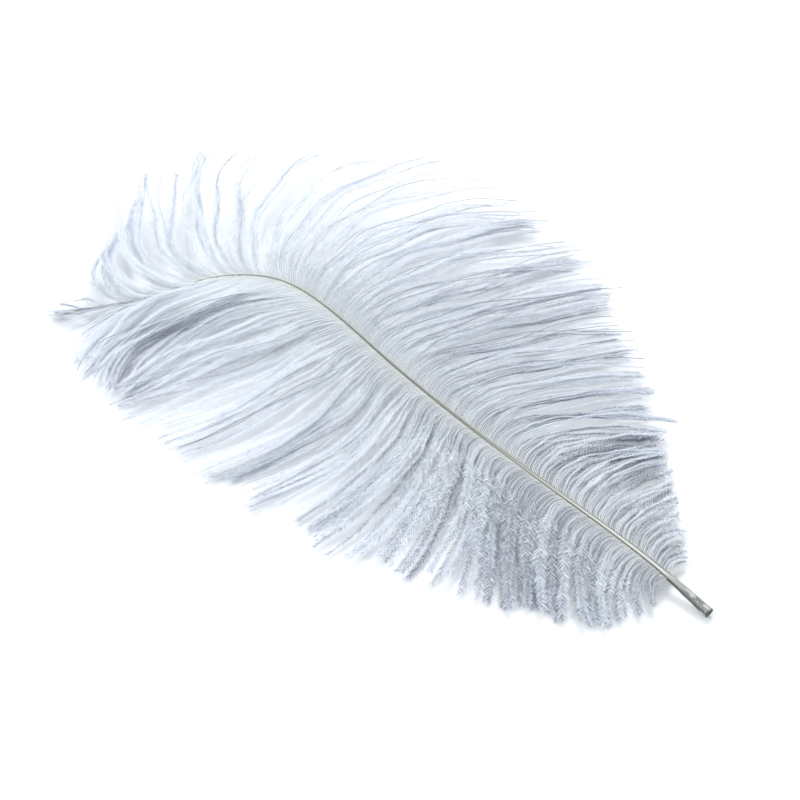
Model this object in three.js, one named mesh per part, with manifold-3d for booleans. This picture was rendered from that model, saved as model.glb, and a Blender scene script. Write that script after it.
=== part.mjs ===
// An ostrich plume lying on a table with its arched side up. The shaft rises from the cut end of the
// quill, runs along the middle of the plume and turns to its left over the last third. A vane of loose,
// drooping locks hangs from each side of it and rests on the table.
//
// Millimetres, +Z up. +X points from the tip towards the cut end, and left and right are those of
// someone who looks from the cut end to the tip. The origin is on the table, under the middle.
import * as THREE from 'three';
import { mergeVertices } from 'three/addons/utils/BufferGeometryUtils.js';
import Module from 'manifold-3d';

const wasm = await Module();
wasm.setup();

// ---------- Driving dimensions ----------

// The middle line of the shaft, from the cut end to the tip.
const SHAFT_POINTS = [
  [149.3, -18.4, 1.75], [128.8, -17.3, 4.9], [107.8, -17.6, 7.8], [74.8, -19.2, 11.9], [39.8, -19.7, 15.4],
  [6.8, -18, 17.6], [-34.2, -12.9, 18.3], [-58.2, -12.3, 17.1], [-74.4, -17.7, 15], [-86.5, -28.3, 12.8],
  [-92.7, -39.1, 10.6], [-103, -54, 7.5], [-112.7, -64.2, 5.6], [-121.4, -73.9, 3.9],
];

// Half the shaft's width and height. at: share of the way from the cut end to the tip.
const SHAFT_GIRTH = [
  { at: 0, wide: 1.85, high: 1.78 },
  { at: 0.012, wide: 1.7, high: 1.6 },
  { at: 0.045, wide: 1.35, high: 1.35 },
  { at: 0.08, wide: 1.05, high: 1.2 },
  { at: 0.35, wide: 0.85, high: 1.0 },
  { at: 0.7, wide: 0.6, high: 0.7 },
  { at: 1, wide: 0.3, high: 0.3 },
];

// How the barbs run. leave: degrees from the shaft at which they leave it. belly and tip: how far on
// along the shaft, and out from it, they are at BELLY_SHARE of their way and at their ends. lies: the
// height of their ends.
const BELLY_SHARE = 0.62;
const RIGHT_BARBS = [
  { at: 0.065, leave: 75, belly: [1, 5], tip: [-1, 10], lies: 2.5 },
  { at: 0.11, leave: 82, belly: [-1, 15], tip: [-3, 23], lies: 1 },
  { at: 0.16, leave: 84, belly: [-2.5, 21], tip: [-6, 38], lies: 0.1 },
  { at: 0.22, leave: 85, belly: [-3.5, 27], tip: [-12, 46], lies: 0.1 },
  { at: 0.32, leave: 85, belly: [-8.5, 32], tip: [-29, 57], lies: 0.1 },
  { at: 0.44, leave: 86, belly: [-6, 43], tip: [-24, 81], lies: 0.1 },
  { at: 0.55, leave: 86, belly: [0, 50], tip: [-16, 99], lies: 1 },
  { at: 0.65, leave: 86, belly: [9, 55], tip: [-11, 102], lies: 3 },
  { at: 0.71, leave: 84, belly: [10.5, 53], tip: [-7, 96], lies: 5 },
  { at: 0.755, leave: 80, belly: [11, 49], tip: [15, 80], lies: 6 },
  { at: 0.8, leave: 73, belly: [10, 35.5], tip: [14, 70], lies: 6 },
  { at: 0.86, leave: 51, belly: [13, 17], tip: [17, 50], lies: 5 },
  { at: 0.905, leave: 42, belly: [11, 14], tip: [14, 26], lies: 4 },
  { at: 0.925, leave: 34, belly: [9, 8], tip: [22, 6], lies: 2.5 },
  { at: 0.96, leave: 30, belly: [7, 3], tip: [14, 4], lies: 2 },
  { at: 1, leave: 20, belly: [2, 1], tip: [4, 2], lies: 1 },
];
const LEFT_BARBS = [
  { at: 0.065, leave: 75, belly: [-1, 5], tip: [-6, 9], lies: 1.5 },
  { at: 0.1, leave: 66, belly: [-4, 15], tip: [-10, 21], lies: 0.1 },
  { at: 0.14, leave: 60, belly: [-8, 20], tip: [-17, 29], lies: 0.1 },
  { at: 0.2, leave: 56, belly: [-11, 25], tip: [-22, 37], lies: 0.1 },
  { at: 0.28, leave: 59, belly: [-12.5, 26], tip: [-28, 46], lies: 0.1 },
  { at: 0.36, leave: 66, belly: [-11, 21], tip: [-23, 60], lies: 0.1 },
  { at: 0.45, leave: 77, belly: [-7, 25], tip: [-4, 70], lies: 0.1 },
  { at: 0.53, leave: 85, belly: [-4.5, 27], tip: [2, 76], lies: 0.1 },
  { at: 0.61, leave: 86, belly: [8, 32.5], tip: [24, 81], lies: 0.1 },
  { at: 0.67, leave: 84, belly: [25.5, 39], tip: [28, 79], lies: 0.1 },
  { at: 0.72, leave: 78, belly: [27, 38], tip: [35, 67], lies: 0.1 },
  { at: 0.76, leave: 56, belly: [32, 24], tip: [47, 50], lies: 0.1 },
  { at: 0.8, leave: 40, belly: [30, 9], tip: [53, 29], lies: 0.1 },
  { at: 0.85, leave: 28, belly: [21, 4], tip: [40, 14.5], lies: 0.1 },
  { at: 0.885, leave: 20, belly: [15, 3], tip: [25, 7], lies: 0.1 },
  { at: 0.9, leave: 12, belly: [17, 0.5], tip: [31, -2], lies: 0.8 },
  { at: 0.94, leave: 10, belly: [10, 0.3], tip: [21, -1], lies: 1 },
  { at: 1, leave: 10, belly: [3, 0.3], tip: [4, 0], lies: 1 },
];

// How flat the barbs' outer parts lie: 0 where they end along the table, 1 where they stay level.
const SAG = 0.06;

// The locks, which are the barbs as they hang together.
const LEFT_LOCKS = 26;
const RIGHT_LOCKS = 28;
const FIRST_LOCK_AT = 0.078;
const LAST_LOCK_AT = 0.985;
const LOCK_HALF_WIDTH = 7.8;
const LOCK_HALF_THICKNESS = 1.0;
const LOCK_STEPS = 6;

// The locks are set evenly apart at EVEN_AT of their lengths, but no step along the shaft counts for less
// than LEAST_STEP, and each may be off its place by half of UNEVEN.
const EVEN_AT = 0.6;
const LEAST_STEP = 0.8;
const UNEVEN = 0.4;
const PLACE_STEPS = 300;

// The close-set inner part of the barbs, up to FEET_SHARE of their lengths, a smooth strip along each
// side of the shaft.
const FEET_SHARE = 0.48;
const FEET_HALF_THICKNESS = 0.55;
const FEET_STEPS = 26;

// Room left between the shaft and the vanes.
const GAP = 0.3;

const HORN = new THREE.MeshStandardMaterial({ color: 0xb9b8a6, roughness: 0.5, metalness: 0 });
const DOWN = new THREE.MeshStandardMaterial({ color: 0xd6dbe4, roughness: 0.9, metalness: 0 });

// ---------- Helpers ----------

const UP = new THREE.Vector3(0, 0, 1);
const smooth = (x) => THREE.MathUtils.smoothstep(x, 0, 1);

// A repeatable number from 0 to 1 for the lock i; each use has its own salt.
function chance(i, salt) {
  const value = Math.sin(i * 12.9898 + salt * 78.233) * 43758.5453;
  return value - Math.floor(value);
}

// The value named key at a share of the shaft, in straight lines between the rows.
function between(rows, at, key) {
  const next = Math.max(1, rows.findIndex((row) => row.at >= at));
  const [a, b] = [rows[next - 1], rows[next]];
  const share = THREE.MathUtils.clamp((at - a.at) / (b.at - a.at), 0, 1);
  if (Array.isArray(a[key])) return a[key].map((value, k) => THREE.MathUtils.lerp(value, b[key][k], share));
  return THREE.MathUtils.lerp(a[key], b[key], share);
}

// Bends an upright unit cylinder along a path: its height follows the path, and its round becomes the
// section, as wide and as high as the two functions say.
function sweep(path, sides, steps, halfWidth, halfHeight) {
  const geometry = new THREE.CylinderGeometry(1, 1, 1, sides, steps);
  const position = geometry.attributes.position;
  for (let i = 0; i < position.count; i += 1) {
    const share = position.getY(i) + 0.5;
    const ahead = path.getTangentAt(share);
    const aside = new THREE.Vector3().crossVectors(ahead, UP).normalize();
    const above = new THREE.Vector3().crossVectors(aside, ahead);
    const point = path.getPointAt(share)
      .addScaledVector(aside, position.getX(i) * halfWidth(share))
      .addScaledVector(above, position.getZ(i) * halfHeight(share));
    position.setXYZ(i, point.x, point.y, point.z);
  }
  return geometry;
}

function toSolid(geometry) {
  geometry.deleteAttribute('normal');
  geometry.deleteAttribute('uv');
  const merged = mergeVertices(geometry, 1e-4);
  return new wasm.Manifold(new wasm.Mesh({
    numProp: 3,
    vertProperties: new Float32Array(merged.attributes.position.array),
    triVerts: new Uint32Array(merged.index.array),
  }));
}

function toMesh(solid, name, material) {
  const { vertProperties, triVerts } = solid.getMesh();
  const geometry = new THREE.BufferGeometry();
  geometry.setAttribute('position', new THREE.BufferAttribute(vertProperties, 3));
  geometry.setIndex(new THREE.BufferAttribute(triVerts, 1));
  geometry.computeVertexNormals();
  const mesh = new THREE.Mesh(geometry, material);
  mesh.name = name;
  return mesh;
}

// All that would be below the table.
const TABLE_DEPTH = 50;
const table = toSolid(new THREE.BoxGeometry(500, 500, TABLE_DEPTH).translate(0, 0, -TABLE_DEPTH / 2));

// ---------- Shaft ----------

const shaftPath = new THREE.CatmullRomCurve3(
  SHAFT_POINTS.map((point) => new THREE.Vector3(...point)), false, 'catmullrom', 0.5,
);
const SHAFT_SIDES = 8;
const SHAFT_STEPS = 42;
const shaftHalfWidth = (at) => between(SHAFT_GIRTH, at, 'wide');
const shaftHalfHeight = (at) => between(SHAFT_GIRTH, at, 'high');
const shaft = toSolid(sweep(shaftPath, SHAFT_SIDES, SHAFT_STEPS, shaftHalfWidth, shaftHalfHeight)).subtract(table);

// A wall along the shaft and on past its tip, which parts the two vanes and keeps them off the shaft.
function parting() {
  const [beforeLast, last] = [shaftPath.getPointAt(0.97), shaftPath.getPointAt(1)];
  const beyond = last.clone().add(last.clone().sub(beforeLast).multiplyScalar(3));
  const points = [...SHAFT_POINTS.map((point) => new THREE.Vector3(...point)), beyond];
  const path = new THREE.CatmullRomCurve3(points.map((point) => point.setZ(0)), false, 'catmullrom', 0.5);
  const wall = sweep(path, 4, 60, (at) => shaftHalfWidth(Math.min(1, at * 1.1)) + GAP + 0.1, () => 60);
  return toSolid(wall);
}

// ---------- Vanes ----------

// The line of one barb. onward and reach shift and stretch where its end comes to lie; lift raises it.
function barb(side, rows, at, { onward = 0, reach = 1, lift = 0 } = {}) {
  const foot = shaftPath.getPointAt(at);
  const ahead = shaftPath.getTangentAt(at).setZ(0).normalize();
  const out = new THREE.Vector3().crossVectors(ahead, UP).multiplyScalar(side);
  const place = (along, away, height) => foot.clone()
    .addScaledVector(ahead, along).addScaledVector(out, away).setZ(height);
  const leave = THREE.MathUtils.degToRad(between(rows, at, 'leave'));
  const [bellyAlong, bellyOut] = between(rows, at, 'belly');
  const [tipAlong, tipOut] = between(rows, at, 'tip');
  const lies = between(rows, at, 'lies') + lift;
  const start = place(0, shaftHalfWidth(at) + GAP, foot.z);
  const end = place((tipAlong + onward) * reach, tipOut * reach, lies);
  const belly = place((bellyAlong + onward / 3) * reach, bellyOut * reach, 0);
  const handle = 0.3 * Math.hypot(bellyAlong, bellyOut);
  const first = place(handle * Math.cos(leave), handle * Math.sin(leave), foot.z + 0.12 * handle);
  const [done, left] = [BELLY_SHARE, 1 - BELLY_SHARE];
  const second = belly.clone().addScaledVector(start, -(left ** 3)).addScaledVector(first, -3 * done * left ** 2)
    .addScaledVector(end, -(done ** 3)).divideScalar(3 * done ** 2 * left);
  second.z = THREE.MathUtils.lerp(lies, foot.z, SAG);
  return new THREE.CubicBezierCurve3(start, first, second, end);
}

// Where along the shaft the locks grow, so that they are about evenly apart halfway to their ends.
function lockPlaces(side, rows, locks) {
  const places = [FIRST_LOCK_AT];
  const run = [0];
  for (let k = 1; k <= PLACE_STEPS; k += 1) {
    places.push(THREE.MathUtils.lerp(FIRST_LOCK_AT, LAST_LOCK_AT, k / PLACE_STEPS));
    const [before, here] = places.slice(-2).map((at) => barb(side, rows, at).getPoint(EVEN_AT));
    run.push(run[k - 1] + before.distanceTo(here) + LEAST_STEP);
  }
  return Array.from({ length: locks }, (_, i) => {
    const share = (i + 0.5 + UNEVEN * (chance(i, 1 + side) - 0.5)) / locks;
    return places[run.findIndex((distance) => distance >= share * run[PLACE_STEPS])];
  });
}

// One lock: narrow where it comes out of the feet, widest before the middle, and pointed at its end.
function lock(side, rows, at, i) {
  const path = barb(side, rows, at, {
    onward: 7 * (chance(i, 3 + side) - 0.5),
    reach: 0.95 + 0.1 * chance(i, 5 + side),
    lift: i % 3 === 1 ? 1.5 * chance(i, 7 + side) : 0,
  });
  const [along, away] = between(rows, at, 'tip');
  const stout = Math.min(1, 0.35 + path.getLength() / 70) * (0.25 + 0.75 * (away / Math.hypot(along, away)));
  const halfWidth = (u) => LOCK_HALF_WIDTH * stout
    * (0.25 + 0.75 * smooth(u / 0.4)) * (0.07 + 0.93 * (1 - u ** 3));
  const halfThickness = (u) => LOCK_HALF_THICKNESS * (0.2 + 0.8 * smooth(u / 0.4)) * (1 - 0.6 * u ** 2);
  return toSolid(sweep(path, 4, LOCK_STEPS, halfWidth, halfThickness));
}

// The strip of the barbs' feet. Its long way follows the shaft and its short way the barbs.
function feet(side, rows) {
  const geometry = new THREE.BoxGeometry(1, 1, 1, FEET_STEPS, 1, 3);
  const position = geometry.attributes.position;
  for (let i = 0; i < position.count; i += 1) {
    const share = 0.5 + side * position.getX(i);
    const path = barb(side, rows, THREE.MathUtils.lerp(FIRST_LOCK_AT, LAST_LOCK_AT, share));
    const point = path.getPoint((position.getZ(i) + 0.5) * FEET_SHARE);
    point.z += 2 * position.getY(i) * FEET_HALF_THICKNESS;
    position.setXYZ(i, point.x, point.y, point.z);
  }
  return toSolid(geometry);
}

const wall = parting();

// The feet and the locks as one solid. Pockets that they close off between them are filled.
function vane(side, rows, locks) {
  let solid = feet(side, rows);
  lockPlaces(side, rows, locks).forEach((at, i) => {
    solid = solid.add(lock(side, rows, at, i));
  });
  const shells = solid.subtract(wall).subtract(table).decompose();
  return shells.reduce((outer, shell) => (shell.volume() > outer.volume() ? shell : outer));
}

const plume = new THREE.Group();
plume.add(
  toMesh(shaft, 'shaft', HORN),
  toMesh(vane(-1, LEFT_BARBS, LEFT_LOCKS), 'left_vane', DOWN),
  toMesh(vane(1, RIGHT_BARBS, RIGHT_LOCKS), 'right_vane', DOWN),
);

export default plume;
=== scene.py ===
"""A pale silver ostrich plume lying on a white table.

The shaft arches over the table and turns to its left near the tip. On each side of it nearly four
hundred barbs droop to the table in loose locks, and every barb carries its own fine barbules.
Lengths are millimetres until a mesh is made, and degrees are degrees until an angle is used.
"""

import math
from types import SimpleNamespace

import bmesh
import bpy
import numpy as np
from mathutils import Matrix, Vector


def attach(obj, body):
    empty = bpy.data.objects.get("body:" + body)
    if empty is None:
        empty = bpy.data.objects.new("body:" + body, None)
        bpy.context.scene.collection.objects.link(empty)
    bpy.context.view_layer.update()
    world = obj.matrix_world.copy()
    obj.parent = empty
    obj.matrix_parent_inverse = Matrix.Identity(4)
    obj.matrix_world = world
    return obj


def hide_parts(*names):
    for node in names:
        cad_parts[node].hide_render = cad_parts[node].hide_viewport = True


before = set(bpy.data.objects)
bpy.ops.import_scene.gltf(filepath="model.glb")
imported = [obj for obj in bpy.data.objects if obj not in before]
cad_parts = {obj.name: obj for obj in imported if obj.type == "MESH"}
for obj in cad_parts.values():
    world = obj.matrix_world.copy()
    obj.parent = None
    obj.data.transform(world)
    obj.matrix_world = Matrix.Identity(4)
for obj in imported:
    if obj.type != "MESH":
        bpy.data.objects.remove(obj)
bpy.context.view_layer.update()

MM = 0.001
UP = np.array([0.0, 0.0, 1.0])


def unit(vectors):
    return vectors / np.maximum(np.linalg.norm(vectors, axis=-1, keepdims=True), 1e-9)


def ease(x):
    """0 below 0 and 1 above 1, smooth between."""
    x = np.clip(x, 0, 1)
    return x * x * (3 - 2 * x)


def distances(lines):
    """How far along its barb each step is."""
    steps = np.linalg.norm(np.diff(lines, axis=1), axis=2)
    return np.concatenate([np.zeros((len(lines), 1)), np.cumsum(steps, axis=1)], axis=1)


# ---------- The shaft's line ----------

# From the cut end to the tip.
SHAFT_POINTS = np.array([
    (149.3, -18.4, 1.75), (128.8, -17.3, 4.9), (107.8, -17.6, 7.8), (74.8, -19.2, 11.9),
    (39.8, -19.7, 15.4), (6.8, -18, 17.6), (-34.2, -12.9, 18.3), (-58.2, -12.3, 17.1), (-74.4, -17.7, 15),
    (-86.5, -28.3, 12.8), (-92.7, -39.1, 10.6), (-103, -54, 7.5), (-112.7, -64.2, 5.6), (-121.4, -73.9, 3.9),
])
LINE_STEPS = 60

# How far before and after a place its direction is taken, as a share of the shaft.
NEARBY = 0.008

# Shares of the shaft, and its half width and half height there.
HALF_WIDTHS = ((0, 0.012, 0.045, 0.08, 0.3, 0.42, 0.6, 1), (1.85, 1.7, 1.35, 0.9, 0.56, 0.42, 0.32, 0.12))
HALF_HEIGHTS = ((0, 0.012, 0.045, 0.08, 0.35, 0.7, 1), (1.78, 1.6, 1.35, 1.2, 1.0, 0.7, 0.15))


def smooth_line(points):
    """The smooth line through the points, and how far along it each of its own points is."""
    ends = np.vstack([2 * points[0] - points[1], points, 2 * points[-1] - points[-2]])
    u = np.linspace(0, 1, LINE_STEPS, endpoint=False)[:, None]
    spans = []
    for a, b, c, d in zip(ends, ends[1:], ends[2:], ends[3:]):
        bend = 2 * a - 5 * b + 4 * c - d + u * (3 * b - a - 3 * c + d)
        spans.append(b + 0.5 * u * (c - a + u * bend))
    line = np.vstack(spans + [points[-1:]])
    return line, distances(line[None])[0]


SHAFT_LINE, SHAFT_RUN = smooth_line(SHAFT_POINTS)
SHAFT_LENGTH = SHAFT_RUN[-1]


def shaft_point(at):
    """The middle of the shaft, at shares of the way from the cut end to the tip."""
    run = np.asarray(at) * SHAFT_LENGTH
    return np.stack([np.interp(run, SHAFT_RUN, column) for column in SHAFT_LINE.T], -1)


def shaft_ahead(at):
    """The direction towards the tip."""
    at = np.asarray(at, float)
    return unit(shaft_point(np.minimum(at + NEARBY, 1)) - shaft_point(np.maximum(at - NEARBY, 0)))


def shaft_half_width(at):
    return np.interp(at, *HALF_WIDTHS)


def shaft_half_height(at):
    return np.interp(at, *HALF_HEIGHTS)


# ---------- How the barbs run ----------

LEFT, RIGHT = -1, 1

# at: share of the shaft. leave: degrees from the shaft at which they leave it. belly and tip: how far
# on along the shaft, and out from it, they are at BELLY_SHARE of their way and at their ends. lies:
# height of the ends.
BELLY_SHARE = 0.62
RIGHT_BARBS = np.array([
    # at, leave, belly along, out, tip along, out, lies
    (0.065, 75, 1, 5, -1, 10, 2.5), (0.11, 82, -1, 15, -3, 23, 1), (0.16, 84, -2.5, 21, -6, 38, 0.4),
    (0.22, 85, -3.5, 27, -12, 46, 0.4), (0.32, 85, -8.5, 32, -29, 57, 0.4),
    (0.44, 86, -6, 43, -24, 81, 0.4), (0.55, 86, 0, 50, -16, 99, 1), (0.65, 86, 9, 55, -11, 102, 3),
    (0.71, 84, 10.5, 53, -7, 96, 5), (0.755, 80, 11, 49, 15, 80, 6), (0.8, 73, 9.5, 37, 13, 72.5, 6),
    (0.82, 65, 8.5, 32, 4.5, 70, 6), (0.84, 58, 10, 26, 7, 64, 5.5), (0.86, 51, 12.5, 18.5, 13.5, 54, 5),
    (0.885, 46, 12, 15, 14.5, 39, 4.5), (0.905, 42, 11, 14, 14, 26, 4), (0.925, 34, 9, 8, 22, 6, 2.5),
    (0.96, 30, 7, 3, 14, 4, 2), (1, 20, 2, 1, 4, 2, 1),
])
LEFT_BARBS = np.array([
    (0.065, 75, -1, 5, -6, 9, 1.5), (0.1, 66, -4, 15, -10.5, 22.5, 0.4), (0.14, 60, -8, 20, -18, 31, 0.4),
    (0.2, 56, -11, 25, -22.5, 38.5, 0.4), (0.28, 59, -12.5, 26, -28, 46, 0.4),
    (0.36, 66, -11, 21, -23, 60, 0.4), (0.45, 77, -7, 25, -4, 70, 0.4), (0.53, 85, -4.5, 27, 1, 72, 0.4),
    (0.61, 86, 8, 32, 20, 75.5, 0.4), (0.67, 84, 25.5, 38.5, 27.5, 77, 0.4), (0.72, 78, 27, 38, 34, 65, 0.4),
    (0.76, 56, 31, 23, 44, 47, 0.4), (0.8, 40, 29, 9, 49, 26.5, 0.4), (0.85, 28, 21, 4, 38, 13.5, 0.4),
    (0.885, 20, 15, 3, 25, 7, 0.4), (0.9, 12, 17, 0.5, 31, -2, 0.8), (0.94, 10, 10, 0.3, 21, -1, 1),
    (1, 10, 3, 0.3, 4, 0, 1),
])

# How much of their height barbs keep past the belly, and how far they run straight on at first, as a
# share of the way to the belly.
SAG = 0.08
HANDLE = 0.3

BARBS_A_SIDE = 410
FIRST_BARB_AT, LAST_BARB_AT = 0.066, 0.998
LOWEST_BARB = 0.25

# Points along each barb, closer together near the shaft.
BARB_STEPS = 30
STEP_CROWDING = 1.4

# Mean widths of the groups in which barbs lie, as shares of the shaft, and how uneven they are.
LOCK_WIDTH = 0.022
WISP_WIDTH = 0.0075
FINE_WIDTH = 0.0042
GROUP_WIDTHS = (0.55, 1.5)

# In millimetres: how far back or onward random changes may take a barb's end, how soon its lean at
# the foot straightens up, and the lengths of its waves and of its finer crimps.
ONWARD_LIMITS = (-8, 10)
LEAN_LENGTH = 7
WAVE_LENGTH = 44
CRIMP_LENGTH = 12

# Where along the shaft each vane changes from fluffy to silky, and within what share of it.
SILKY_FROM = {LEFT: 0.31, RIGHT: 0.24}
SILKY_WITHIN = 0.2

# Near the feather's tip the barbs part into a fringe of separate wisps: how strongly on each side, how
# much narrower its locks are, and how far in millimetres its wisps bow out towards the tip.
FRINGE_FROM, FRINGE_WITHIN = 0.66, 0.1
FRINGE = {LEFT: 0.1, RIGHT: 1.0}
FINER = {LEFT: 0.4, RIGHT: 0.55}
FRINGE_BOW = 5

# How far the fluffy barbs gather into sprigs, and how far single barbs stand out as if combed, at
# shares of the shaft.
SPRIGS = {LEFT: 1.0, RIGHT: 0.2}
COMBED = {LEFT: ((0.3, 0.42, 0.6), (0, 0.6, 0.2)),
          RIGHT: ((0.066, 0.2, 0.35, 0.5, 0.7), (0.6, 0.9, 1, 0.5, 0.25))}

# The silky locks: how far they draw together at their very ends and wander along the shaft, and how
# many millimetres their ends flick towards the feather's tip, their strays lie on towards it, and
# their barbules are longer than fluffy ones.
DRAWN = {LEFT: 0.22, RIGHT: 0.1}
WANDER = {LEFT: 1.0, RIGHT: 0.4}
FLICK = {LEFT: 0, RIGHT: 3.5}
STRAY_ONWARD = {LEFT: 7, RIGHT: 0}
SILK = {LEFT: 0.5, RIGHT: 0.7}

# At shares of the shaft: what is added to the barbs' tones, and the share of barbs that don't grow.
MEAN_TONE = 0.65
# These added tones are partly the plume's own and partly painted light, which lightens stretches that face
# away from the lamps, most of all on the left towards the tip.
BRIGHTER = {
    LEFT: ((0.1, 0.2, 0.3, 0.4, 0.5, 0.6, 0.7, 0.78, 0.9, 0.93),
           (-0.17, -0.07, 0.0, -0.03, 0.03, 0.09, 0.15, 0.58, 0.5, -0.32)),
    RIGHT: ((0.1, 0.16, 0.26, 0.35, 0.5, 0.8, 0.88, 0.93),
            (-0.02, 0.04, -0.06, -0.09, 0.04, -0.02, 0.12, -0.25)),
}
MISSING = {LEFT: ((0.75, 0.82, 0.86, 0.9, 0.92, 0.95, 1), (0, 0.25, 0.35, 0.5, 0.6, 0.7, 0.5)),
           RIGHT: ((0.7, 0.85, 0.91, 0.93, 1), (0, 0.15, 0.3, 0.88, 0.9))}

# How uneven the tones of single barbs are past STREAKED_FROM.
STREAKED = {LEFT: 1.0, RIGHT: 0.2}
STREAKED_FROM = 0.7

# Each barb's tone goes up and down by knots this many millimetres apart.
DASH = 4.5
DASHES = 30
DASH_STRENGTH = 0.17


def barb_lines(rows, barbs, onward, reach, lift):
    """The lines of many barbs at once, as an array of barbs by steps by xyz."""
    at = barbs.at
    leave, belly_on, belly_out, tip_on, tip_out, lies = (
        np.interp(at, rows[:, 0], column) for column in rows.T[1:])
    foot = shaft_point(at)
    ahead = shaft_ahead(at)
    ahead[:, 2] = 0
    ahead = unit(ahead)
    out = np.cross(ahead, UP) * barbs.side

    def place(along, away, height):
        point = foot + ahead * along[:, None] + out * away[:, None]
        point[:, 2] = height
        return point

    handle = HANDLE * np.hypot(belly_on, belly_out)
    leave = np.radians(leave)
    tip_height = lies + lift
    start = place(0 * at, shaft_half_width(at) * 0.6, foot[:, 2])
    end = place((tip_on + onward) * reach, tip_out * reach, tip_height)
    belly = place((belly_on + onward / 3) * reach, belly_out * reach, 0 * at)
    first = place(handle * np.cos(leave), handle * np.sin(leave), foot[:, 2] + 0.12 * handle)

    # The second handle takes the curve through the belly.
    done, left = BELLY_SHARE, 1 - BELLY_SHARE
    rest = belly - start * left ** 3 - first * 3 * done * left ** 2 - end * done ** 3
    second = rest / (3 * done ** 2 * left)
    second[:, 2] = tip_height + SAG * (foot[:, 2] - tip_height) + 0.8 * lift
    u = barbs.share[None, :, None]
    start, first, second, end = (p[:, None] for p in (start, first, second, end))
    return start * (1 - u) ** 3 + 3 * first * u * (1 - u) ** 2 + 3 * second * u * u * (1 - u) + end * u ** 3


# ---------- Groups of barbs ----------

def grouped(at, mean_width, rng):
    """Puts neighbours along the shaft into groups of uneven width, and numbers the groups."""
    steps = np.diff(at) / np.broadcast_to(mean_width, at.shape)[1:]
    along = np.concatenate([[0], np.cumsum(steps)])
    return np.searchsorted(np.cumsum(rng.uniform(*GROUP_WIDTHS, int(2 * along[-1]) + 2)), along)


def group_mean(lines, group):
    """Each barb's own group's mean line."""
    total = np.zeros((group.max() + 1, *lines.shape[1:]))
    np.add.at(total, group, lines)
    count = np.maximum(np.bincount(group, minlength=len(total)), 1)
    return (total / count[:, None, None])[group]


def by_group(rng, amount, group):
    """A random number for each group, handed to all its barbs."""
    return rng.normal(0, amount, group.max() + 1)[group]


def new_barbs(side, rng):
    """Where the barbs grow and what kind each of them is, as a record of one value for each barb.

    Only its side and share, where along a barb its points are, hold for all of them.
    """
    share = np.linspace(0, 1, BARB_STEPS) ** STEP_CROWDING
    at = np.linspace(FIRST_BARB_AT, LAST_BARB_AT, BARBS_A_SIDE)
    at = at + rng.uniform(-0.15, 0.15, len(at)) * (at[1] - at[0])
    silky = ease((at - SILKY_FROM[side]) / SILKY_WITHIN)
    fringe = ease((at - FRINGE_FROM) / FRINGE_WITHIN) * FRINGE[side]
    sprig = SPRIGS[side] * (1 - silky)
    lock = grouped(at, LOCK_WIDTH * (1 - FINER[side] * fringe), rng)
    wisp = grouped(at, WISP_WIDTH * (1 + 0.8 * sprig), rng)
    fine = grouped(at, FINE_WIDTH, rng)

    # Strays leave their lock, leaders lie on top of it, and those under it lie low; the tones give the under
    # barbs painted shade and the leaders a painted highlight.
    stray = rng.random(len(at)) < 0.04 + 0.09 * silky * (1 - fringe)
    leader = (rng.random(len(at)) < 0.3) * (1 - silky)
    under = (rng.random(len(at)) < 0.4) * (1 - leader) * (1 - 0.1 * silky - 0.9 * fringe)
    return SimpleNamespace(
        side=side, share=share, at=at, silky=silky, fringe=fringe, sprig=sprig, lock=lock, wisp=wisp,
        stray=stray, leader=leader, under=under, streak=rng.uniform(0, 1, fine.max() + 1)[fine],
        combed=np.interp(at, *COMBED[side]) * (1 - under), bare=stray * silky * (1 - fringe),
        small=np.interp(at, (0.065, 0.25, 0.85, 1), (0.35, 1, 1, 0.3)))


def drooping_lines(rows, barbs, rng):
    """The barbs' lines from the shaft down to the table, before they gather."""
    at, silky, stray, under = barbs.at, barbs.silky, barbs.stray, barbs.under
    lock, wisp = barbs.lock, barbs.wisp
    onward = barbs.small * (1 - 0.7 * under) * (
        by_group(rng, 2.5, lock) * (0.3 + 0.7 * silky * WANDER[barbs.side])
        + by_group(rng, 2.4, wisp) * (1 + 0.5 * silky)
        + rng.normal(0, 1.8, len(at)) * (1 + 3 * stray) + STRAY_ONWARD[barbs.side] * stray * silky)
    onward = np.clip(onward, *ONWARD_LIMITS)
    middle = np.bincount(lock, at) / np.maximum(np.bincount(lock), 1)
    off_middle = np.abs(at - middle[lock]) / (0.5 * LOCK_WIDTH)
    reach = (1 + by_group(rng, 0.03, lock) * (1 + 0.6 * silky) + by_group(rng, 0.02, wisp)
             - np.abs(rng.normal(0, 0.04, len(at))) + silky * (0.10 - 0.05 * off_middle ** 1.5)
             - 0.04 * silky * under)
    lift = barbs.small * (1 - 0.8 * under) * (
        np.abs(by_group(rng, 1.6, lock)) + np.abs(by_group(rng, 1.5, wisp))
        + np.abs(rng.normal(0, 0.6, len(at))) + 1.6 * ease((barbs.streak - 0.3) / 0.4)
        + (1.2 + 1.2 * silky) * stray + 1.6 * barbs.leader)
    return barb_lines(rows, barbs, onward, reach, lift)


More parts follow.
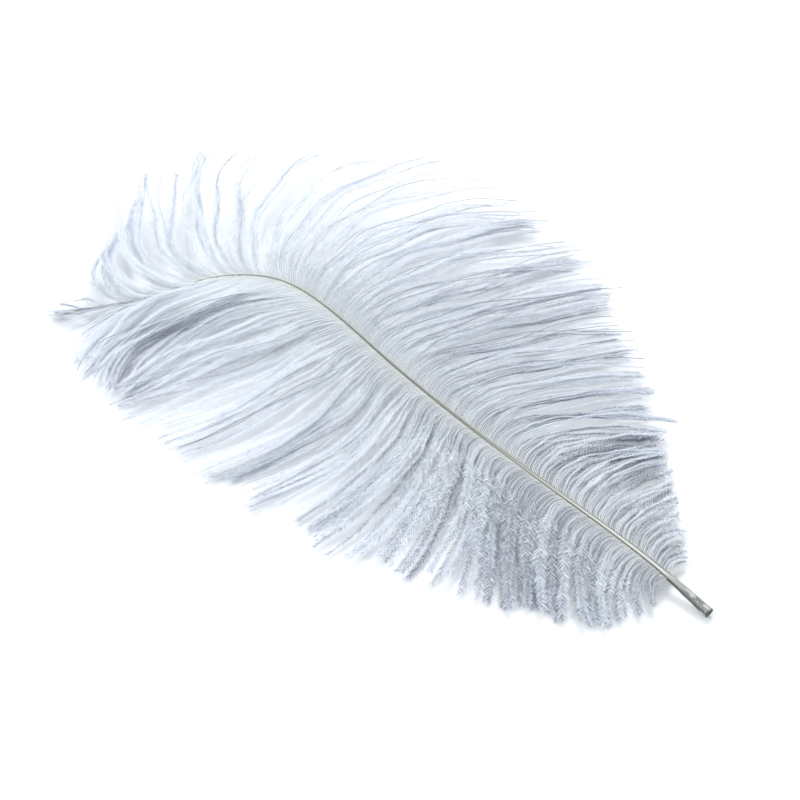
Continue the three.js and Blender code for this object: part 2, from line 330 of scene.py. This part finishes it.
def gathered(lines, barbs):
    """The barbs of a lock draw together towards its end, and those of a wisp draw together sooner."""
    held = (1 - np.maximum(0.8 * barbs.stray, barbs.under))[:, None, None]
    silky, fringe, sprig = (each[:, None, None] for each in (barbs.silky, barbs.fringe, barbs.sprig))
    drawn = DRAWN[barbs.side] * silky * (1 - fringe)
    along = barbs.share[None, :, None]
    into_lock = (0.05 + 0.13 * silky + 0.46 * fringe) * ease((along - 0.18 + 0.08 * fringe) / 0.5)
    into_lock = into_lock + drawn * ease((along - 0.66) / 0.34)
    lines = lines + (group_mean(lines, barbs.lock) - lines) * into_lock * held
    into_wisp = 0.5 - 0.3 * silky + 0.15 * fringe + 0.25 * sprig
    into_wisp = into_wisp * ease((along - 0.35 + 0.2 * silky) / 0.45)
    into_wisp = into_wisp + 2.2 * drawn * ease((along - 0.68) / 0.32)
    return lines + (group_mean(lines, barbs.wisp) - lines) * into_wisp * held


def waved(lines, length, barbs, rng):
    """The barbs wave from side to side, more towards their ends, most of all near the feather's tip."""
    at, share, silky, fringe = barbs.at, barbs.share, barbs.silky, barbs.fringe
    wave = np.interp(at, (0.065, 0.4, 0.65, 0.85, 0.93, 1), (0.35, 0.9, 1.5, 1.6, 0.6, 0.3))
    start = (rng.uniform(0, 2 * math.pi, barbs.lock.max() + 1)[barbs.lock] + by_group(rng, 0.8, barbs.wisp)
             + rng.normal(0, 0.3, len(at)) * (1 + 4 * barbs.stray))
    turns = (length / WAVE_LENGTH)[:, None] * share
    swing = np.sin(2 * math.pi * turns + start[:, None]) * ease(share / 0.7) * wave[:, None]
    crimps = (length / CRIMP_LENGTH)[:, None] * share
    crimp = np.sin(2 * math.pi * crimps + rng.uniform(0, 6.3, len(at))[:, None])
    swing = swing + crimp * (0.3 - 0.15 * silky)[:, None] * ease(share / 0.4)

    # Silky ends curl, each wisp its own way, and whole locks of them flick towards the feather's tip.
    uneven = np.sin(2.1 * barbs.lock)
    curl = barbs.small * silky * (by_group(rng, 2.2, barbs.wisp) + rng.normal(0, 0.8, len(at)))
    curl = curl - FLICK[barbs.side] * silky * (1 - fringe) * (1 + 0.7 * uneven)
    swing = swing + curl[:, None] * ease((share - 0.55) / 0.45) ** 1.5
    bow = FRINGE_BOW * fringe * (1 + 0.45 * uneven)
    swing = swing - bow[:, None] * np.sin(math.pi * share ** 0.8)
    aside = unit(np.cross(unit(np.gradient(lines, axis=1)), UP))
    lines = lines + aside * swing[:, :, None]
    lines[:, :, 2] = np.maximum(lines[:, :, 2], LOWEST_BARB)
    return lines


def vane_barbs(side, rows, rng):
    """All barbs of one vane: their lines, where they grow, what kind they are and their tones."""
    barbs = new_barbs(side, rng)
    at, silky, under = barbs.at, barbs.silky, barbs.under
    lines = drooping_lines(rows, barbs, rng)

    # Each leaves the shaft leaning towards the tip and straightens up within a few millimetres.
    run = distances(lines)
    lean = np.interp(at, (0.065, 0.13, 0.6, 1), (1.5, 4.6, 4.2, 2.0))[:, None] * np.exp(-run / LEAN_LENGTH)
    lines = lines - shaft_ahead(at)[:, None] * lean[:, :, None]
    lines = gathered(lines, barbs)
    barbs.lines = waved(lines, run[:, -1], barbs, rng)

    # Painted shade darkens the barbs that lie under the others, and a painted highlight lightens the leaders
    # on top.
    under_shade = under * (0.24 * (1 - silky) + 0.2 * np.interp(at, *COMBED[side]))
    single = 1 + barbs.combed + 3 * STREAKED[side] * ease((at - STREAKED_FROM) / 0.08)
    uneven = (by_group(rng, 0.05, barbs.lock) + by_group(rng, 0.08, barbs.wisp)
              + rng.normal(0, 0.08, len(at)) * single)
    barbs.tone = MEAN_TONE + np.interp(at, *BRIGHTER[side]) + 0.14 * barbs.leader - under_shade
    barbs.tone = barbs.tone + (1 - 0.5 * silky) * uneven
    barbs.lined = rng.random(len(at)) < 0.4
    barbs.dashes = rng.normal(0, DASH_STRENGTH, (len(at), DASHES))

    # The far end is thin: fewer barbs grow there.
    kept = rng.random(len(at)) > np.interp(at, *MISSING[side])
    for name, values in list(vars(barbs).items()):
        if name not in ("side", "share"):
            setattr(barbs, name, values[kept])
    barbs.tops = top_heights(barbs.lines)
    return barbs


# ---------- Depth ----------

# A field of square cells on the table, in millimetres, and at how many places each barb crosses it.
CELL = 1.1
FIELD_CORNER = np.array([-175.0, -120.0])
FIELD_CELLS = (320, 220)
FIELD_SAMPLES = 160


def cells(points):
    place = ((points[..., :2] - FIELD_CORNER) / CELL).astype(int)
    return tuple(np.clip(place[..., k], 0, FIELD_CELLS[k] - 1) for k in range(2))


def top_heights(lines):
    """The height of the highest barb over each small square of the table."""
    tops = np.zeros(FIELD_CELLS)
    steps = np.linspace(0, lines.shape[1] - 1.001, FIELD_SAMPLES)
    low = steps.astype(int)
    part = (steps - low)[None, :, None]
    dense = lines[:, low] * (1 - part) + lines[:, low + 1] * part
    np.maximum.at(tops, cells(dense), dense[..., 2])
    around = [np.roll(tops, (a, b), (0, 1)) for a in (-1, 0, 1) for b in (-1, 0, 1)]
    return sum(around) / len(around)


# Hollows, where the barbs lie parted with shorter barbules and painted shade darkens some of them: side,
# share of the shaft, how far out in millimetres, their half sizes in both, and how strong they are.
HOLLOWS = (
    (LEFT, 0.83, 26, 0.07, 16, 0.3),
    (LEFT, 0.74, 45, 0.06, 16, 0.4),
    (LEFT, 0.93, 14, 0.025, 16, 1.3),
    (RIGHT, 0.93, 14, 0.012, 14, 0.6),
    (RIGHT, 0.20, 28, 0.09, 11, 1.0),
    (RIGHT, 0.33, 36, 0.08, 15, 1.4),
    (RIGHT, 0.52, 62, 0.10, 22, 0.4),
    (LEFT, 0.13, 22, 0.07, 9, 0.5),
    (LEFT, 0.30, 44, 0.12, 12, 0.35),
)


def hollow(side, at, out):
    """How parted the barbs are, from 0 to a little over 1; it also sets how strong the painted shade there
    is.
    """
    inside = 0
    for own_side, middle, away, half_at, half_out, strength in HOLLOWS:
        if side == own_side:
            here = strength * np.exp(-((at - middle) / half_at) ** 2 - ((out - away) / half_out) ** 2)
            inside = np.maximum(inside, here)
    return inside


def shade(barbs, points, n, out, tone):
    """The tones of points on the barbs n: painted shade under other barbs and in hollows, a painted
    highlight on the topmost, and uneven along them.
    """
    at, silky = barbs.at[n], barbs.silky[n]
    # Painted shade: the deeper a point lies under the highest barb over it, the darker it is made; points at
    # the very top get a painted highlight.
    depth = barbs.tops[cells(points)] - points[:, 2]
    depth_shade = 0.62 - 0.15 * silky - 0.36 * ease((at - 0.7) / 0.1)
    tone = tone - depth_shade * ease((depth - 0.4) / 4.0) + 0.12 * ease(-depth / 1.5)
    # Painted shade in the hollows: fine groups of barbs are made much darker, the rest a little lighter.
    tone = tone + hollow(barbs.side, at, out) * (0.12 - 1.1 * ease((0.55 - barbs.streak[n]) / 0.2))
    knot = np.minimum((out / DASH).astype(int), DASHES - 2)
    part = ease(out / DASH - knot)
    dash = barbs.dashes[n, knot] * (1 - part) + barbs.dashes[n, knot + 1] * part
    return np.clip(tone + dash * (0.4 + ease((out - 12) / 12) * (0.6 - 0.9 * silky)), 0, 1)


# ---------- Meshes from many small parts ----------

def linked(name, data):
    """An object with this mesh, light or camera, in the scene."""
    piece = bpy.data.objects.new(name, data)
    bpy.context.scene.collection.objects.link(piece)
    return piece


def joined_mesh(name, points, triangles, fields):
    """One mesh object of all the triangles. fields are values that the materials read, point by point."""
    mesh = bpy.data.meshes.new(name)
    mesh.vertices.add(len(points))
    mesh.vertices.foreach_set("co", (np.asarray(points, np.float32) * MM).ravel())
    mesh.loops.add(3 * len(triangles))
    mesh.loops.foreach_set("vertex_index", np.asarray(triangles, np.int32).ravel())
    mesh.polygons.add(len(triangles))
    mesh.polygons.foreach_set("loop_start", np.arange(0, 3 * len(triangles), 3, dtype=np.int32))
    mesh.update(calc_edges=True)
    for field, values in fields.items():
        layer = mesh.attributes.new(field, "FLOAT", "POINT")
        layer.data.foreach_set("value", np.asarray(values, np.float32))
    return linked(name, mesh)


RAMUS_SIDES = 3


def turned(ring):
    """The same corners of rings, starting from the next one."""
    return np.roll(ring, -1, axis=2)


def rami(barbs, chosen):
    """The barbs' own thin stems, three-sided and tapering to their ends."""
    lines = barbs.lines[chosen]
    count, steps, _ = lines.shape
    ahead = unit(np.gradient(lines, axis=1))
    aside = unit(np.cross(ahead, UP))
    above = np.cross(aside, ahead)
    out = distances(lines)

    # In millimetres: thickest at the foot, thin further out and towards the end.
    radius = 0.08 + 0.10 * (1 - ease(out / 22)) + 0.14 * np.exp(-(out / 2.2) ** 2)
    radius = radius + 0.06 * barbs.combed[chosen][:, None]
    radius = radius * (1 - 0.6 * barbs.share)[None, :] + 0.08 * barbs.bare[chosen][:, None]

    rings = []
    for corner in range(RAMUS_SIDES):
        angle = math.radians(90 + 360 / RAMUS_SIDES * corner)
        rings.append(lines + (aside * math.cos(angle) + above * math.sin(angle)) * radius[:, :, None])
    points = np.stack(rings, 2).reshape(-1, 3)
    index = np.arange(len(points)).reshape(count, steps, RAMUS_SIDES)
    here, there = index[:, :-1], index[:, 1:]
    triangles = np.concatenate([
        np.stack([here, there, turned(here)], -1).reshape(-1, 3),
        np.stack([turned(here), there, turned(there)], -1).reshape(-1, 3),
        np.stack([index[:, -1, 0], index[:, -1, 2], index[:, -1, 1]], -1).reshape(-1, 3),
    ])
    out = np.repeat(out.ravel(), RAMUS_SIDES)
    n = np.repeat(np.flatnonzero(chosen), steps * RAMUS_SIDES)
    silky, far = barbs.silky[n], ease((out - 8) / 14)
    # Close to the shaft the stems are lighter, partly their own paler feet and partly painted light on these
    # raised lines.
    tone = barbs.tone[n] + 0.58 * (1 - far)
    tone = tone + far * (0.15 * (1 - silky) - silky * (0.1 + 0.6 * barbs.lined[n]))
    tone = tone + far * (0.35 * barbs.combed[n] - 0.6 * barbs.bare[n])
    return points, triangles, {"out": out, "tone": shade(barbs, points, n, out, tone)}


BARBULE_EVERY = 0.18
BARBULE_HALF_WIDTH = 0.09
TUFT_EVERY = 1.35
LOWEST_BARBULE = 0.12


def coarser(silky):
    """How many times as wide, and as far apart, the barbules are where the feather is fluffy."""
    return 1.9 - 0.9 * silky


def loosened(out):
    """From 0 close to the shaft, where barbules lie flat, to 1 where they stand free."""
    return ease((out - 6) / 14)


def barbule_feet(barbs, chosen, rng):
    """Where the barbules grow, as columns: foot, direction of the barb, hand, out, share, tuft and barb."""
    feet, tufts = [], 0
    for n in np.flatnonzero(chosen):
        line = barbs.lines[n]
        run = distances(line[None])[0]
        out = np.arange(0.6, run[-1], BARBULE_EVERY * coarser(barbs.silky[n]) / 2)
        out = out + rng.uniform(-0.4, 0.4, len(out)) * BARBULE_EVERY
        hand = np.where(np.arange(len(out)) % 2, 1.0, -1.0)

        # Where the barb is fluffy they stand together in small tufts.
        place = out / TUFT_EVERY + 0.25 * hand + 0.12 * np.sin(out * 0.9 + 2.3 * n)
        tuft = np.floor(place).astype(int) + 1
        fluffy = loosened(out) * (1 - barbs.silky[n]) * (1 - 0.5 * barbs.combed[n])
        out = out + (tuft - 0.5 - place) * TUFT_EVERY * 0.85 * fluffy
        ahead = unit(np.gradient(line, axis=0))
        columns = [np.interp(out, run, each) for each in (*line.T, *ahead.T)]
        tuft = 2 * (tufts + tuft) + (hand > 0)
        feet.append(np.stack([*columns, hand, out, out / run[-1], tuft, np.full(len(out), n)], -1))
        tufts = tuft.max() // 2 + 2
    return np.vstack(feet)


def barbules(barbs, chosen, rng):
    """The fine barbules on both sides of each barb, one thin triangle each."""
    feet = barbule_feet(barbs, chosen, rng)
    root, ahead = feet[:, :3], unit(feet[:, 3:6])
    hand, out, share, tuft, n = feet[:, 6:].T
    tuft, n = tuft.astype(int), n.astype(int)
    silky, combed = barbs.silky[n], barbs.combed[n]
    count = len(root)
    right = unit(np.cross(ahead, UP))
    above = np.cross(right, ahead)

    # Close to the shaft they are short and lie flat; further out they are long, and stand out and up
    # where the feather is fluffy or lie along the barb where it is silky. spread and raised are
    # degrees away from the barb and up.
    loose = loosened(out)
    parted = np.minimum(hollow(barbs.side, barbs.at[n], out), 1)
    fluffy = loose * (1 - silky) * (1 - 0.7 * parted) * (1 - 0.5 * combed)
    turn, rise, stretch = (rng.normal(0, 1, tuft.max() + 1)[tuft] for _ in range(3))
    spread = 55 - 16 * loose - 16 * silky * loose + rng.normal(0, 4 + 3 * silky, count) + 7 * turn * fluffy
    raised = -12 * (1 - loose) + rng.normal(0, 1, count) * (6 + 6 * loose) + 22 * rise * fluffy
    spread, raised = np.radians(spread), np.radians(raised)
    length = 0.7 + loose * (2.1 + SILK[barbs.side] * silky - 0.9 * combed)
    length = length * rng.uniform(0.75, 1.2, count) * (1 + 0.3 * stretch * fluffy)
    length = length * (1 - (0.2 + 0.2 * silky) * ease((share - 0.6) / 0.4)) * (1 - 0.6 * parted)
    length = length * (1 - 0.75 * barbs.bare[n]) * (1 + 0.1 * barbs.fringe[n])
    sideways = right * (hand * np.cos(raised))[:, None] + above * np.sin(raised)[:, None]
    end = root + (ahead * np.cos(spread)[:, None] + sideways * np.sin(spread)[:, None]) * length[:, None]
    end[:, 2] = np.maximum(end[:, 2], LOWEST_BARBULE)
    half = ahead * (BARBULE_HALF_WIDTH * coarser(silky))[:, None]
    points = np.stack([root - half, root + half, end], 1).reshape(-1, 3)
    triangles = np.arange(len(points)).reshape(-1, 3)
    triangles[hand < 0] = triangles[hand < 0][:, ::-1]

    # The fluffy ones get painted shade at the foot and a painted highlight at their ends; on combed barbs
    # they are lighter at the foot and darker at their ends.
    tone = barbs.tone[n] + rng.normal(0, 0.09, count) + turn * (0.2 * fluffy + 0.12 * silky * loose)
    # Painted shade: close to the shaft the barbules, sunk between the stems, are darker.
    tone = tone - (0.38 - 0.18 * barbs.fringe[n]) * (1 - loose) - 0.15 * silky * ease((share - 0.7) / 0.3)
    tone = tone[:, None] + fluffy[:, None] * np.array([-0.42, -0.42, 0.5])
    tone = tone + (combed * loose)[:, None] * np.array([0.2, 0.2, -0.5])
    out, n = np.repeat(out, 3), np.repeat(n, 3)
    return points, triangles, {"out": out, "tone": shade(barbs, points, n, out, tone.ravel())}


def joined(parts):
    """Several sets of points, triangles and fields as one."""
    starts = np.cumsum([0] + [len(points) for points, _, _ in parts[:-1]])
    points = np.vstack([points for points, _, _ in parts])
    triangles = np.vstack([triangles + start for (_, triangles, _), start in zip(parts, starts)])
    fields = {key: np.concatenate([fields[key] for _, _, fields in parts]) for key in parts[0][2]}
    return points, triangles, fields


# ---------- Shader sums ----------

class Value:
    """A socket that carries a number, with the sums that the materials use."""

    def __init__(self, look, socket):
        self.look, self.socket = look, socket

    def _sum(self, operation, *others):
        return self.look.node("ShaderNodeMath", {"operation": operation}, dict(enumerate(others)))

    def __add__(self, other):
        return self._sum("ADD", self, other)

    def __rsub__(self, other):
        return self._sum("SUBTRACT", other, self)

    def __mul__(self, other):
        return self._sum("MULTIPLY", self, other)

    def over(self, low, high):
        """0 below low and 1 above high, smooth between."""
        return self.look.node("ShaderNodeMapRange", {"interpolation_type": "SMOOTHSTEP"},
                              {"Value": self, "From Min": low, "From Max": high})


class Look:
    """A material under construction."""

    def __init__(self, name):
        self.material = bpy.data.materials.new(name)
        self.material.use_nodes = True
        self.tree = self.material.node_tree
        self.tree.nodes.clear()

    def node(self, kind, settings=None, inputs=None, output=0):
        """Adds a node, sets it up, feeds its sockets and gives back one of its outputs."""
        node = self.tree.nodes.new(kind)
        for key, value in (settings or {}).items():
            if key == "stops":
                while len(node.color_ramp.elements) < len(value):
                    node.color_ramp.elements.new(0.5)
                for stop, (place, colour) in zip(node.color_ramp.elements, value):
                    stop.position = place
                    stop.color = (*colour, 1)
            else:
                setattr(node, key, value)
        for key, value in (inputs or {}).items():
            if isinstance(value, Value):
                self.tree.links.new(value.socket, node.inputs[key])
            else:
                node.inputs[key].default_value = value
        return Value(self, node.outputs[output])

    def field(self, name):
        return self.node("ShaderNodeAttribute", {"attribute_name": name}, output="Fac")

    def ramp(self, value, *stops):
        return self.node("ShaderNodeValToRGB", {"stops": stops}, {"Fac": value})

    def mixed(self, share, first, second, blend="MIX"):
        """Two colours mixed, or the second blended into the first."""
        return self.node("ShaderNodeMix", {"data_type": "RGBA", "blend_type": blend},
                         {0: share, 6: first, 7: second}, output=2)

    def noise(self, scale, detail=2.0, stretch=(1, 1, 1)):
        place = self.node("ShaderNodeTexCoord", output="Object")
        place = self.node("ShaderNodeMapping", {}, {"Vector": place, "Scale": stretch})
        return self.node("ShaderNodeTexNoise", {}, {"Vector": place, "Scale": scale, "Detail": detail})

    def finish(self, surface):
        out = self.tree.nodes.new("ShaderNodeOutputMaterial")
        self.tree.links.new(surface.socket, out.inputs["Surface"])
        return self.material


def down_look():
    """Silver down: ivory at the barbs' feet, blue-grey further out, soft and letting light through."""
    look = Look("silver_down")
    out, tone = look.field("out"), look.field("tone")
    body = look.ramp(
        out * 0.01,
        (0.0, (0.71, 0.73, 0.70)), (0.02, (0.77, 0.79, 0.78)), (0.05, (0.82, 0.86, 0.88)),
        (0.4, (0.77, 0.81, 0.87)), (1.0, (0.80, 0.83, 0.89)))
    # The tone field carries each point's own tone together with its painted shade and highlights.
    grey = look.ramp(
        tone,
        (0.0, (0.22, 0.24, 0.29)), (0.4, (0.62, 0.64, 0.68)), (0.75, (0.96, 0.96, 0.97)),
        (1.0, (1.15, 1.15, 1.15)))
    body = look.mixed(1.0, body, grey, "MULTIPLY")
    surface = look.node("ShaderNodeBsdfPrincipled", {}, {
        "Base Color": body, "Roughness": 0.7, "Specular IOR Level": 0.25})
    through = look.node("ShaderNodeBsdfTranslucent", {}, {"Color": (0.82, 0.85, 0.90, 1)})
    return look.finish(look.node("ShaderNodeMixShader", {}, {0: tone * 0.34 + 0.02, 1: surface, 2: through}))


GRIME = (0.12, 0.125, 0.12, 1)
PALE_HIGHLIGHT = (0.62, 0.62, 0.61, 1)
GLINT_COLOUR = (0.82, 0.82, 0.80, 1)


def horn_look():
    """The shaft's horn: grey and grubby at the cut end, ivory beyond, olive grey towards the tip, with
    painted shade along its sides and painted highlights on the bare quill.
    """
    look = Look("quill_horn")
    at, across = look.field("at"), look.field("across")
    lit_ridge = look.ramp(
        at,
        (0.0, (0.19, 0.20, 0.19)), (0.03, (0.26, 0.27, 0.26)), (0.058, (0.36, 0.365, 0.35)),
        (0.068, (0.58, 0.58, 0.56)), (0.12, (0.62, 0.62, 0.59)), (0.24, (0.45, 0.45, 0.42)),
        (0.34, (0.24, 0.24, 0.21)), (0.5, (0.15, 0.155, 0.13)), (0.75, (0.22, 0.23, 0.21)),
        (1.0, (0.40, 0.41, 0.38)))
    # The darker colour of the painted shade along the shaft's sides.
    edge = look.ramp(
        at,
        (0.0, (0.08, 0.085, 0.08)), (0.4, (0.08, 0.08, 0.07)), (0.5, (0.12, 0.125, 0.10)),
        (1.0, (0.30, 0.31, 0.28)))

    # Painted shade: the right side is darker, on the bare quill only a narrow band of it, and so is the left
    # edge; between them lies the lit colour.
    quill = 1 - at.over(0.05, 0.075)
    far = across.over(-0.15, 0.15) * (1 - quill) + across.over(0.3, 0.8) * quill
    near = 1 - across.over(-0.95, -0.65)
    body = look.mixed(far, lit_ridge, edge)
    body = look.mixed(near * (1 - at.over(0.2, 0.32) * 0.7), body, edge)

    grime = look.noise(420.0, 4.0, (0.3, 1, 1)).over(0.42, 0.62)
    body = look.mixed(grime * (1 - at.over(0.02, 0.06)) * 0.75, body, GRIME)
    # Painted highlight: pale streaks on the lit side of the bare quill.
    pale = look.noise(520.0, 2.0, (0.35, 1, 1)).over(0.52, 0.64)
    body = look.mixed(pale * (1 - far) * (1 - at.over(0.05, 0.07)) * 0.55, body, PALE_HIGHLIGHT)
    # Painted glints: small bright specks close to the cut end.
    glints = look.noise(1300.0, 1.0).over(0.66, 0.72)
    body = look.mixed(glints * (1 - at.over(0.02, 0.035)) * 0.9, body, GLINT_COLOUR)
    grain = look.noise(700.0, 2.0, (0.08, 1, 1))
    bump = look.node("ShaderNodeBump", {}, {"Strength": 0.25, "Distance": 0.0002, "Height": grain})
    return look.finish(look.node("ShaderNodeBsdfPrincipled", {}, {
        "Base Color": body, "Roughness": grime * 0.2 + 0.42, "Normal": bump}))


# ---------- Shaft ----------

SHAFT_SIDES = 20
QUILL_TO = 0.08
QUILL_RINGS, SHAFT_RINGS = 24, 130
RIM_WIDTH = 0.45
MOUTH_DEPTH = 1.4

# Slight swellings of the bare quill: share of the shaft, and how much thicker it is there.
KNUCKLES = ((0.035, 0.06), (0.055, 0.05))
KNUCKLE_HALF_LENGTH = 0.003


def ring_edges(ring):
    """The edges between the points of one ring, each of them once and in the ring's order."""
    edges = dict.fromkeys(edge for vert in ring for edge in vert.link_edges)
    return [edge for edge in edges if all(end in ring for end in edge.verts)]


def shaft_piece():
    """Rings along the shaft's line, bridged; the cut end is hollowed a little inside its rim."""
    stations = np.concatenate([np.linspace(0, QUILL_TO, QUILL_RINGS, endpoint=False),
                               np.linspace(QUILL_TO, 1, SHAFT_RINGS)])
    bm = bmesh.new()
    across_layer = bm.verts.layers.float.new("across")
    at_layer = bm.verts.layers.float.new("at")
    rings = []
    for at in stations:
        middle, ahead = Vector(shaft_point(at)), Vector(shaft_ahead(at))
        aside = ahead.cross(Vector(UP)).normalized()
        above = aside.cross(ahead)
        swell = 1
        for place, size in KNUCKLES:
            swell += size * math.exp(-((at - place) / KNUCKLE_HALF_LENGTH) ** 2)
        wide, high = shaft_half_width(at) * swell, shaft_half_height(at) * swell
        turn = Matrix((aside * wide, above * high, ahead)).transposed().to_4x4()
        turn = Matrix.Translation(middle) @ turn
        ring = bmesh.ops.create_circle(bm, segments=SHAFT_SIDES, radius=1, matrix=turn)["verts"]
        for vert in ring:
            vert[at_layer] = at
            vert[across_layer] = (vert.co - middle).dot(aside) / wide
        rings.append(ring)
    loops = [ring_edges(ring) for ring in rings]
    for near, far in zip(loops, loops[1:]):
        bmesh.ops.bridge_loops(bm, edges=near + far)
    bmesh.ops.contextual_create(bm, geom=rings[-1])
    mouth = bmesh.ops.contextual_create(bm, geom=rings[0])["faces"]
    bmesh.ops.inset_region(bm, faces=mouth, thickness=RIM_WIDTH, depth=0)
    bmesh.ops.translate(bm, verts=mouth[0].verts, vec=shaft_ahead(0.0) * MOUTH_DEPTH)
    bmesh.ops.recalc_face_normals(bm, faces=bm.faces)
    bmesh.ops.scale(bm, verts=bm.verts, vec=(MM, MM, MM))
    for face in bm.faces:
        face.smooth = True
    mesh = bpy.data.meshes.new("quill_and_shaft")
    bm.to_mesh(mesh)
    bm.free()
    return linked("quill_and_shaft", mesh)


shaft = shaft_piece()
shaft.data.materials.append(horn_look())
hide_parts("shaft")
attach(shaft, "root")

# ---------- Vanes ----------

# Each vane is made in three stretches of the shaft, from share to share.
STRETCHES = (("base", 0.0, 0.38), ("middle", 0.38, 0.66), ("tip", 0.66, 1.1))
VANES = ((LEFT, LEFT_BARBS, "left_vane", 11), (RIGHT, RIGHT_BARBS, "right_vane", 15))

down = down_look()
for side, rows, vane, seed in VANES:
    rng = np.random.default_rng(seed)
    barbs = vane_barbs(side, rows, rng)
    for stretch, start, stop in STRETCHES:
        chosen = (barbs.at >= start) & (barbs.at < stop)
        points, triangles, fields = joined([rami(barbs, chosen), barbules(barbs, chosen, rng)])
        piece = joined_mesh(f"{vane}_{stretch}_barbs", points, triangles, fields)
        piece.data.materials.append(down)
        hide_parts(vane)
        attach(piece, "root")

# ---------- Table, light and camera ----------

# In metres. The table lies a hair's breadth below the feather.
TABLE_HALF_WIDTH = 3.0
TABLE_HEIGHT = -0.0002


def table_look():
    look = Look("white_table")
    return look.finish(look.node("ShaderNodeBsdfDiffuse", {}, {"Color": (0.80, 0.82, 0.84, 1)}))


bm = bmesh.new()
bmesh.ops.create_grid(bm, x_segments=1, y_segments=1, size=TABLE_HALF_WIDTH)
bmesh.ops.translate(bm, verts=bm.verts, vec=(0, 0, TABLE_HEIGHT))
mesh = bpy.data.meshes.new("table")
bm.to_mesh(mesh)
bm.free()
table = linked("table", mesh)
table.data.materials.append(table_look())

world = bpy.data.worlds.new("studio")
world.use_nodes = True
world.node_tree.nodes["Background"].inputs["Color"].default_value = (0.96, 0.985, 1, 1)
world.node_tree.nodes["Background"].inputs["Strength"].default_value = 0.95
bpy.context.scene.world = world


def soft_light(name, place, size, power):
    """A square area light that looks at the feather's middle."""
    light = bpy.data.lights.new(name, "AREA")
    light.shape = "SQUARE"
    light.size = size
    light.energy = power
    lamp = linked(name, light)
    lamp.location = place
    lamp.rotation_euler = Vector(place).to_track_quat("Z", "Y").to_euler()


soft_light("key", (-0.5, 0.85, 1.2), 0.45, 12)
soft_light("fill", (-0.4, -1.0, 1.2), 0.9, 10)

CAMERA_AZIMUTH = 43.8
CAMERA_ELEVATION = 45.0
CAMERA_DISTANCE = 0.650
CAMERA_TARGET = Vector((0.0048, -0.0159, 0))
CAMERA_LENS = 78.3
SENSOR_WIDTH = 36

turn, rise = math.radians(CAMERA_AZIMUTH), math.radians(CAMERA_ELEVATION)
back = Vector((math.sin(turn) * math.cos(rise), -math.cos(turn) * math.cos(rise), math.sin(rise)))
lens = bpy.data.cameras.new("camera")
lens.sensor_width = SENSOR_WIDTH
lens.lens = CAMERA_LENS
lens.clip_start = 0.01
camera = linked("camera", lens)
camera.location = CAMERA_TARGET + back * CAMERA_DISTANCE
camera.rotation_euler = back.to_track_quat("Z", "Y").to_euler()
bpy.context.scene.camera = camera
bpy.context.scene.view_settings.view_transform = "Standard"
